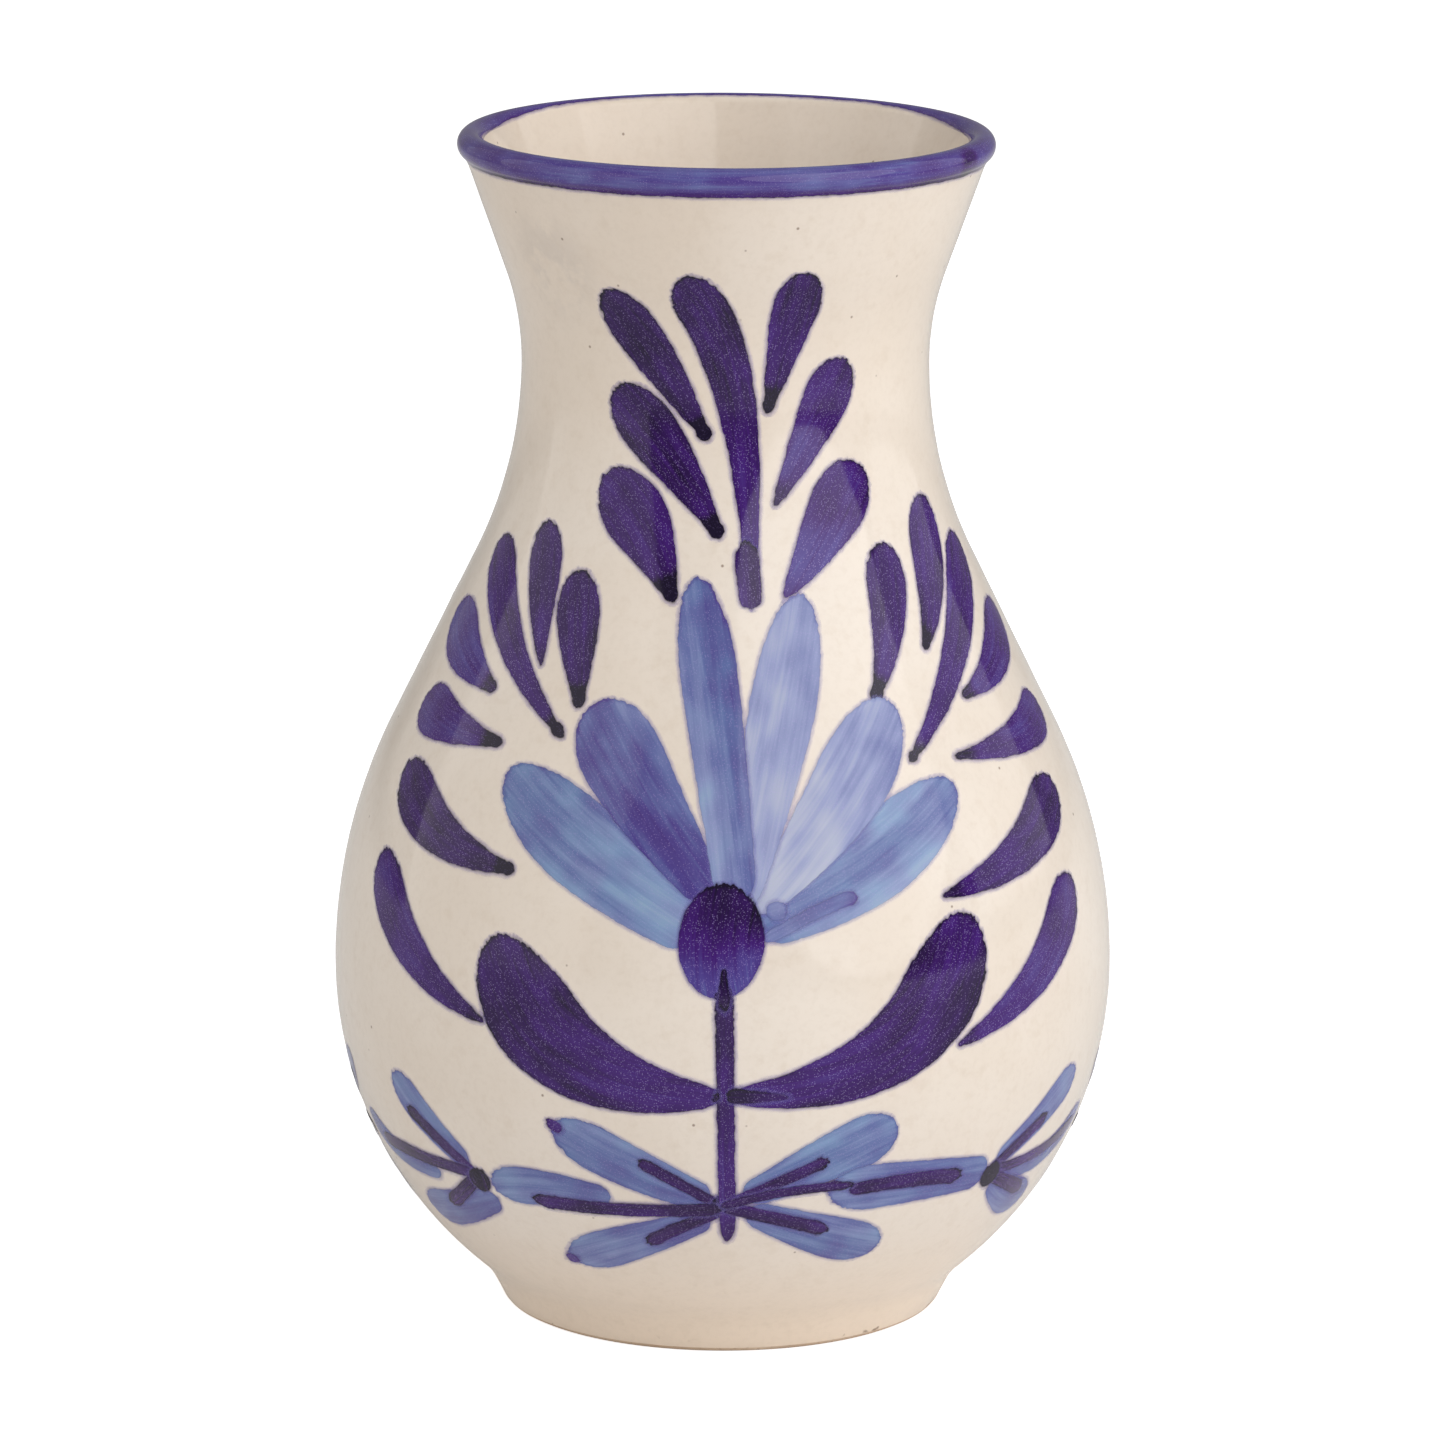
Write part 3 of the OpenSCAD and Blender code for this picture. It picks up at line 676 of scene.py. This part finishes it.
    laid = stored(tree, sheet, "edge", edge, "FLOAT")
    laid = stored(tree, laid, "brush", joined(tree, share * length, across, carried(tree, "seed", "FLOAT")))
    laid = stored(tree, laid, "travel", joined(tree, share, (1.0 - share) * length, across / half_width))
    laid = put(tree, "GeometryNodeSetPosition", {"Geometry": laid, "Position": top})
    depth = outward * ((given["Lift"] + given["Sink"]) * MM)
    sunk = put(tree, "GeometryNodeSetPosition", {"Geometry": laid, "Offset": depth * -1.0})
    under = put(tree, "GeometryNodeFlipFaces", {"Mesh": sunk})
    raised = put(tree, "GeometryNodeExtrudeMesh", {"Mesh": sunk, "Offset": depth, "Individual": False},
                 mode="FACES")
    both = tree.nodes.new("GeometryNodeJoinGeometry")
    feed(tree, both.inputs[0], raised)
    feed(tree, both.inputs[0], under)
    shut = put(tree, "GeometryNodeMergeByDistance", {
        "Geometry": Flow(tree, both.outputs[0]), "Distance": 2e-6})
    outwards = put(tree, "GeometryNodeFlipFaces", {"Mesh": shut})
    done = fired(tree, outwards, given["Sharp Edge"], given["Finish"])
    feed(tree, result.inputs["Paint"], done)
    return tree


# ---------------------------------------------------------------- finishes

def attribute(tree, title, out="Vector"):
    return put(tree, "ShaderNodeAttribute", attribute_name=title, out=out)


def blended(tree, factor, a, b, mode="MIX"):
    """Colour a going over to colour b by a factor."""
    node = tree.nodes.new("ShaderNodeMix")
    node.data_type = "RGBA"
    node.blend_type = mode
    feed(tree, node.inputs["Factor"], factor)
    for socket, value in zip((node.inputs[6], node.inputs[7]), (a, b)):
        feed(tree, socket, value if isinstance(value, Flow) else (*value, 1.0))
    return Flow(tree, node.outputs[2])


def coloured(tree, value, stops):
    """Colours along a value from 0 to 1, as (place, colour) stops."""
    node = tree.nodes.new("ShaderNodeValToRGB")
    feed(tree, node.inputs["Fac"], value)
    elements = node.color_ramp.elements
    while len(elements) < len(stops):
        elements.new(0.5)
    for element, (place, colour) in zip(elements, stops):
        element.position = place
        element.color = (*colour, 1.0)
    return Flow(tree, node.outputs["Color"])


GLAZE_SKIN = {"Waves": 0.06, "Peel": 0.003}


def glaze_skin_group():
    """Height of the fired glaze's surface: slow waves of the wall and a fine orange peel."""
    tree, given, result = new_tree("glaze_skin", "ShaderNodeTree", {
        "Waves": ("Float", 1.0), "Peel": ("Float", 1.0)}, {"Height": ("Float", None)})
    place = put(tree, "ShaderNodeTexCoord", out="Object")
    waves = noise(tree, place, 55.0, 2.0)
    peel = noise(tree, place, 700.0, 2.0)
    feed(tree, result.inputs["Height"], waves * given["Waves"] + peel * given["Peel"])
    return tree


def finish(name, rough, coat_rough, coat=1.0, specular=0.2):
    """A new material with its Principled shader, under a clear fired coat."""
    material = bpy.data.materials.new(name)
    material.use_nodes = True
    tree = material.node_tree
    shader = tree.nodes["Principled BSDF"]
    shader.inputs["Roughness"].default_value = rough
    shader.inputs["Coat Weight"].default_value = coat
    shader.inputs["Coat Roughness"].default_value = coat_rough
    shader.inputs["Coat IOR"].default_value = 1.42
    shader.inputs["Specular IOR Level"].default_value = specular
    return material, tree, shader


def bumped(tree, shader, height):
    """Unevenness of a surface, under its coat as well."""
    node = tree.nodes.new("ShaderNodeBump")
    node.inputs["Distance"].default_value = MM
    node.inputs["Strength"].default_value = 1.0
    feed(tree, node.inputs["Height"], height)
    feed(tree, shader.inputs["Normal"], Flow(tree, node.outputs["Normal"]))
    feed(tree, shader.inputs["Coat Normal"], Flow(tree, node.outputs["Normal"]))


def white_glaze(skin_group):
    """Warm white glaze: cloudy, tan at the neck with painted shade on its left side, with fine sand, dark
    flecks and nicks at the foot.
    """
    material, tree, shader = finish("ivory_glaze", 0.55, 0.08)
    place = put(tree, "ShaderNodeTexCoord", out="Object")
    east, _, height = parts(place)
    cloud = noise(tree, place, 26.0, 3.0, 0.55)
    grain = noise(tree, place, 900.0, 2.0, 0.6)
    sand = noise(tree, place, 330.0, 3.0, 0.6)
    base = blended(tree, ramp(tree, cloud, 0.35, 0.65), (0.835, 0.74, 0.64), (0.875, 0.79, 0.70))
    base = blended(tree, ramp(tree, height, 0.03, 0.004), base, (0.865, 0.74, 0.615))
    # A tan tone at the neck, heavier on the left side. The left-side part is painted shade, where less light
    # falls.
    neck_tan_and_left_shade = ramp(tree, height, 0.135, 0.175) * (ramp(tree, east, 0.015, -0.03) * 0.6 + 0.4)
    base = blended(tree, neck_tan_and_left_shade * 0.16, base, (0.70, 0.50, 0.30))
    smudge = noise(tree, place, 120.0, 4.0, 0.65)
    near = calc(tree, "DISTANCE", place, (-0.027, -0.024, 0.182))
    smudge = ramp(tree, near, 0.013, 0.003) * ramp(tree, smudge, 0.45, 0.6)
    base = blended(tree, smudge * 0.3, base, (0.52, 0.46, 0.42))
    base = blended(tree, ramp(tree, grain, 0.42, 0.72, 0.0, 0.10), base, (0.62, 0.52, 0.42))
    base = blended(tree, ramp(tree, sand, 0.5, 0.75, 0.0, 0.22), base, (0.70, 0.58, 0.46))
    spots = put(tree, "ShaderNodeTexVoronoi", {"Vector": place, "Scale": 240.0}, out="Distance")
    pick, _, _ = parts(twin(spots, "Color"))
    more_above = ramp(tree, height, 0.13, 0.18) * 0.25
    fleck = ramp(tree, spots, 0.085, 0.03) * ramp(tree, pick + more_above, 0.8, 0.84)
    base = blended(tree, fleck * 0.75, base, (0.22, 0.13, 0.08))
    nicks = ramp(tree, noise(tree, place, 330.0, 2.0, 0.6), 0.6, 0.68) * ramp(tree, height, 0.003, 0.0012)
    base = blended(tree, nicks * 0.8, base, (0.25, 0.15, 0.09))
    feed(tree, shader.inputs["Base Color"], base)
    bumped(tree, shader, group(tree, skin_group, GLAZE_SKIN)["Height"])
    return material


def bare_clay():
    """Dry, gritty fired clay."""
    material, tree, shader = finish("bare_fired_clay", 0.85, 0.5, coat=0.0)
    place = put(tree, "ShaderNodeTexCoord", out="Object")
    cloud = noise(tree, place, 60.0, 4.0, 0.6)
    grit = noise(tree, place, 1500.0, 2.0, 0.7)
    base = blended(tree, ramp(tree, cloud, 0.35, 0.7), (0.60, 0.45, 0.33), (0.72, 0.58, 0.45))
    base = blended(tree, ramp(tree, grit, 0.55, 0.75, 0.0, 0.5), base, (0.35, 0.22, 0.14))
    feed(tree, shader.inputs["Base Color"], base)
    bumped(tree, shader, grit * 0.05 + cloud * 0.2)
    return material


# From thin wash to a pooled dab.
PIGMENT_COLOURS = [
    (0.0, (0.50, 0.54, 0.70)),
    (0.16, (0.32, 0.37, 0.64)),
    (0.34, (0.145, 0.18, 0.44)),
    (0.5, (0.085, 0.06, 0.29)),
    (0.72, (0.052, 0.009, 0.17)),
    (0.86, (0.027, 0.003, 0.085)),
    (1.0, (0.006, 0.001, 0.02))]
TEAL_SHIFT = (0.6, 1.02, 0.95)
VIOLET_SHIFT = (1.0, 0.88, 0.86)
SPECK_COLOUR = (0.56, 0.44, 0.90)
FRINGE_COLOUR = (0.27, 0.21, 0.70)


def brushed_pigment_group():
    """Colour and cover of brushed pigment, from a stroke's own attributes."""
    tree, given, result = new_tree("brushed_pigment", "ShaderNodeTree", {
        "Edge": ("Float", 1.0), "Brush": ("Vector", (0, 0, 0)), "Travel": ("Vector", (0, 0, 0)),
        "Ink": ("Vector", (0.5, 0, 0)), "Tone": ("Vector", (0, 0, 0)), "Streaks": ("Float", 0.3),
        "Hairs": ("Float", 0.2), "Clouds": ("Float", 0.3), "Ragged": ("Float", 0.5),
        "Pooling": ("Float", 0.1), "Halo": ("Float", 0.3), "Solid": ("Float", 1.0),
        "Speckle": ("Float", 0.3)}, {"Colour": ("Color", None), "Cover": ("Float", None)})
    along, across, seed = parts(given["Brush"])
    share, left, side = parts(given["Travel"])
    load, change, dab = parts(given["Ink"])
    bias, core, hue = parts(given["Tone"])

    def brushed_noise(pull, spread, shift, detail=1.0, rough=0.5):
        """Noise about 0 that runs with the brush, at a pitch along it and a pitch across it."""
        place = joined(tree, along * pull, across * spread, seed + shift)
        return noise(tree, place, 1.0, detail, rough) - 0.5

    start = ramp(tree, share, 0.28, 0.0)
    scallops = brushed_noise(0.8, 1.15, 0.0) * (start * 2.4 + 0.9)
    ragged = scallops + brushed_noise(0.3, 0.3, 20.0, 2.0) + brushed_noise(2.2, 3.4, 50.0) * 0.5
    edge = given["Edge"] + ragged * given["Ragged"]
    cover = ramp(tree, edge, -0.16, 0.14) * given["Solid"]
    halo = ramp(tree, edge, -0.7, 0.05) * given["Halo"]

    streaks = brushed_noise(0.045, 0.55, 3.0, 2.0, 0.55)
    hairs = brushed_noise(0.09, 2.6, 9.0, 2.0, 0.6)
    cloud = brushed_noise(0.14, 0.2, 31.0)
    pigment = load + change * ramp(tree, share, 0.15, 0.95) + streaks * given["Streaks"]
    pigment = pigment + hairs * given["Hairs"] + cloud * given["Clouds"]
    pigment = pigment + bias * side + core * (0.4 - side * side)
    pigment = pigment + ramp(tree, edge, 0.8, 0.0) * (0.4 + start * 1.4) * given["Pooling"]
    pigment = pigment + ramp(tree, left, 4.4, 1.8) * dab * 0.4

    points = put(tree, "ShaderNodeTexVoronoi", {
        "Vector": joined(tree, along, across, seed), "Scale": 4.0}, out="Distance")
    pick, _, _ = parts(twin(points, "Color"))
    specks = ramp(tree, points, 0.45, 0.15) * ramp(tree, pick, 0.3, 0.8)
    specks = specks * ramp(tree, pigment, 1.05, 0.85, 0.25, 1.0) * given["Speckle"]

    hue = hue + cloud * 1.6
    colour = coloured(tree, pigment, PIGMENT_COLOURS)
    colour = blended(tree, ramp(tree, hue, -0.2, -1.2, 0.0, 0.6), colour, TEAL_SHIFT, "MULTIPLY")
    colour = blended(tree, ramp(tree, hue, 0.2, 1.2, 0.0, 0.6), colour, VIOLET_SHIFT, "MULTIPLY")
    colour = blended(tree, specks, colour, SPECK_COLOUR)
    colour = blended(tree, ramp(tree, edge, 0.08, -0.3) * 0.8, colour, FRINGE_COLOUR)
    feed(tree, result.inputs["Colour"], colour)
    feed(tree, result.inputs["Cover"], calc(tree, "MAXIMUM", cover, halo))
    return tree


def pigmented(name, skin_group, pigment_group, values):
    """A paint finish whose colour and cover come from the pigment group, given the values that feed it."""
    material, tree, shader = finish(name, 0.5, 0.08, specular=0.0)
    brushed = group(tree, pigment_group, values(tree))
    feed(tree, shader.inputs["Base Color"], brushed["Colour"])
    feed(tree, shader.inputs["Alpha"], brushed["Cover"])
    bumped(tree, shader, group(tree, skin_group, GLAZE_SKIN)["Height"])
    return material


def stroke_paint(name, skin_group, pigment_group, values):
    """Paint for strokes, which carry their own edge, way, ink and tone."""
    return pigmented(name, skin_group, pigment_group, lambda tree: {
        "Edge": attribute(tree, "edge", "Fac"), "Brush": attribute(tree, "brush"),
        "Travel": attribute(tree, "travel"), "Ink": attribute(tree, "ink"),
        "Tone": attribute(tree, "tone"), **values})


def rim_paint(skin_group, pigment_group):
    """The band over the lip: darker at its borders, thin and streaky on the crest, with a painted highlight
    there.
    """

    def values(tree):
        outer_edge, arc, inner_edge = parts(attribute(tree, "band"))
        place = put(tree, "ShaderNodeTexCoord", out="Object") * (1 / MM)
        east, north, _ = parts(place)
        edge = calc(tree, "MINIMUM", outer_edge, inner_edge - ramp(tree, north, 5.0, 38.0) * 2.0)
        # Less pigment on the crest: partly thin paint over the bead, partly a painted highlight.
        thin_crest_and_highlight = ramp(tree, outer_edge, 0.5, 2.2)
        patch = calc(tree, "DISTANCE", place, (40.0, -20.0, 197.5))
        sides = ramp(tree, calc(tree, "ABSOLUTE", east), 15.0, 40.0)
        load = 0.68 - thin_crest_and_highlight * 0.23 + sides * 0.1 + ramp(tree, patch, 4.0, 1.5) * 0.25
        return {"Edge": edge, "Brush": joined(tree, east, arc, north * 0.2), "Travel": (0.5, 99, 0),
                "Ink": joined(tree, load, 0.0, 0.0), "Tone": (0, 0, 0.9), "Streaks": 0.3, "Hairs": 0.2,
                "Clouds": 0.2, "Ragged": 0.4, "Pooling": 0.3, "Halo": 0.4, "Speckle": 0.2}

    return pigmented("rim_brushwork", skin_group, pigment_group, values)


# ---------------------------------------------------------------- camera, light and stage


LENS = 197.14
SHIFT = -0.0009
CAMERA_PLACE = (0, -1.3, 0.3933)
LOOK_DOWN = math.radians(12.749)
CAMERA_TILT = math.radians(0.259)
LIGHT_AIM = Vector((0, 0, 0.1))
STAGE_R = 6
STAGE_SIDES = 64
STAGE_Z = -0.00005


def studio():
    """The camera, five soft lights, a dim room and a pale floor."""
    scene = bpy.context.scene
    camera_data = bpy.data.cameras.new("camera")
    camera_data.lens = LENS
    camera_data.sensor_width = 36.0
    camera_data.shift_x = SHIFT
    camera = bpy.data.objects.new("camera", camera_data)
    camera.location = CAMERA_PLACE
    camera.rotation_euler = (math.pi / 2 - LOOK_DOWN, 0, 0)
    camera.rotation_euler.rotate_axis("Z", CAMERA_TILT)
    scene.collection.objects.link(camera)
    scene.camera = camera
    scene.view_settings.view_transform = "Standard"

    def softbox(name, azimuth, elevation, distance, size, power, colour=(1.0, 0.985, 0.97)):
        """An even panel of light that faces the vase. A size of one number makes it round."""
        lamp = bpy.data.lights.new(name, "AREA")
        lamp.shape = "RECTANGLE" if len(size) == 2 else "DISK"
        lamp.size = size[0]
        lamp.size_y = size[-1]
        lamp.energy = power
        lamp.color = colour
        holder = bpy.data.objects.new(name, lamp)
        a, e = math.radians(azimuth), math.radians(elevation)
        away = Vector((math.sin(a) * math.cos(e), -math.cos(a) * math.cos(e), math.sin(e)))
        holder.location = LIGHT_AIM + away * distance
        holder.rotation_euler = (-away).to_track_quat("-Z", "Y").to_euler()
        scene.collection.objects.link(holder)

    softbox("front_right_round", 44, 31, 1.6, [2.0], 18.5)
    softbox("right_softbox", 102, 25, 1.5, [1.1, 1.3], 3.6)
    softbox("front_left_panel", -75, 22, 1.6, [2.3, 1.5], 8.2, (1.0, 0.965, 0.915))
    softbox("left_softbox", -125, 25, 1.5, [1.1, 1.3], 0.8, (1.0, 0.93, 0.83))
    softbox("top_softbox", 0, 85, 1.6, [1.4, 1.4], 1.2)

    world = bpy.data.worlds.new("studio")
    world.use_nodes = True
    world.node_tree.nodes["Background"].inputs["Color"].default_value = (0.9, 0.885, 0.87, 1)
    world.node_tree.nodes["Background"].inputs["Strength"].default_value = 0.3
    scene.world = world

    floor_mesh = bpy.data.meshes.new("floor")
    turns = [i * math.tau / STAGE_SIDES for i in range(STAGE_SIDES)]
    ring = [(STAGE_R * math.cos(a), STAGE_R * math.sin(a), STAGE_Z) for a in turns]
    floor_mesh.from_pydata(ring, [], [tuple(range(STAGE_SIDES))])
    floor = bpy.data.objects.new("floor", floor_mesh)
    scene.collection.objects.link(floor)
    pale = bpy.data.materials.new("pale_floor")
    pale.use_nodes = True
    tree = pale.node_tree
    shader = tree.nodes["Principled BSDF"]
    shader.inputs["Base Color"].default_value = (0.9, 0.9, 0.9, 1)
    shader.inputs["Roughness"].default_value = 0.9
    shader.inputs["Emission Color"].default_value = (1, 1, 1, 1)
    seen = put(tree, "ShaderNodeLightPath", out="Is Camera Ray")
    feed(tree, shader.inputs["Emission Strength"], seen * 0.75 + 0.05)
    floor_mesh.materials.append(pale)


# ---------------------------------------------------------------- building the vase

studio()

skin_group = glaze_skin_group()
pigment_group = brushed_pigment_group()
GLAZE = white_glaze(skin_group)
CLAY = bare_clay()
DARK = stroke_paint("dark_brushwork", skin_group, pigment_group, {
    "Streaks": 0.32, "Hairs": 0.26, "Clouds": 0.3, "Ragged": 0.4, "Pooling": 0.09, "Halo": 0.4,
    "Speckle": 0.36})
LIGHT = stroke_paint("light_brushwork", skin_group, pigment_group, {
    "Streaks": 0.3, "Hairs": 0.12, "Clouds": 0.3, "Ragged": 0.3, "Pooling": 0.06, "Halo": 0.35,
    "Solid": 0.9, "Speckle": 0.3})
RIM = rim_paint(skin_group, pigment_group)


def settled(piece, node):
    """Puts a finished piece in the part in place of its CAD node."""
    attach(piece, "root")
    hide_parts(node)


wheel = throwing_tree()
recess = [(0, RECESS_H + 0.3), (RING_R - 1.5, RECESS_H + 0.1), (RING_R - 0.4, RECESS_H - 0.8), (RING_R, 0.5)]
foot_ring = [(RING_R + 0.6, 0), (FOOT_R - 0.7, 0), (FOOT_R, 0.35), (BARE_R, BARE_H)]
base_points = [Vector(p) for p in recess + foot_ring]
clay = thrown("vase_clay", base_points + outside(GLAZE_T)[1:] + inside(GLAZE_T)[1:], 0, CLAY, wheel)
outer = thrown("vase_outer_glaze", outside(0) + outside(GLAZE_T)[::-1], 1, GLAZE, wheel)
inner = thrown("vase_inner_glaze", inside(GLAZE_T)[::-1] + inside(0), 0, GLAZE, wheel)
rim_points, rim_marks = rim_band_outline()
rim = thrown("rim_band_paint", rim_points, 1, RIM, wheel, rim_marks)
made = [(clay, "clay_body", CLAY), (outer, "outer_glaze", GLAZE), (inner, "inner_glaze", GLAZE),
        (rim, "rim_band", RIM)]

brush = brush_tree()


def painted(node, sets, finish_of, steps=(48, 12), lift=FILM_LIFT):
    """Lays a node's strokes on the outer glaze."""
    piece = grown(node + "_paint", strokes_mesh(node + "_paint", sets), brush, {
        "Glaze": outer, "Steps Along": steps[0], "Steps Across": steps[1], "Soft Edge": SOFT_EDGE,
        "Lift": lift, "Layer": LAYER_T, "Sink": FILM_SINK, "Taper": TAPER, "Dot": DOT_R,
        "Sharp Edge": SHARP_EDGE, "Finish": finish_of})
    made.append((piece, node, finish_of))


# Each motif's strokes, tail, finish, how high it lies over the glaze, and the small marks over it.
MOTIFS = {
    "top_plume": (TOP_PLUME, PLUME_TAIL, DARK, FILM_LIFT, PLUME_DAB),
    "left_plume": (LEFT_PLUME, PLUME_TAIL, DARK, FILM_LIFT, []),
    "right_plume": (RIGHT_PLUME, PLUME_TAIL, DARK, FILM_LIFT, []),
    "petals": (PETALS, PETAL_TAIL, LIGHT, FILM_LIFT, PETAL_MARKS),
    "leaves": (LEAVES, LEAF_TAIL, DARK, FILM_LIFT, []),
    "stem": (STEM, LINE_TAIL, DARK, STEM_LIFT, STEM_JOINS),
    "flower_eye": (EYE, ROUND_TAIL, DARK, EYE_LIFT, [])}
for side, turn in (("front", 0), ("back", 180)):
    for motif, (strokes, tail, finish_of, lift, marks) in MOTIFS.items():
        sets = [(strokes, turn, tail, 0), (marks, turn, LINE_TAIL, len(strokes))]
        painted(side + "_" + motif, sets, finish_of, lift=lift)

garland = [(0, MIDDLE_LEAVES, MIDDLE_VEINS), (180, MIDDLE_LEAVES, MIDDLE_VEINS),
           (-42, LEFT_LEAVES, LEFT_VEINS), (47, RIGHT_LEAVES, RIGHT_VEINS)]
garland += [(a, FAR_LEAVES, FAR_VEINS) for a in (93, 136, -89, -134)]
painted("garland_leaves", [(leaves, a, GARLAND_TAIL, 0) for a, leaves, _ in garland], LIGHT, (30, 8))
painted("garland_vines", [(veins, a, LINE_TAIL, 0) for a, _, veins in garland], DARK, (30, 6), VINE_LIFT)
painted("garland_knots", [(KNOT, a, ROUND_TAIL, 0) for a, _, _ in garland], DARK, (16, 12), KNOT_LIFT)

for piece, node, finish_of in made:
    settled(piece, node)
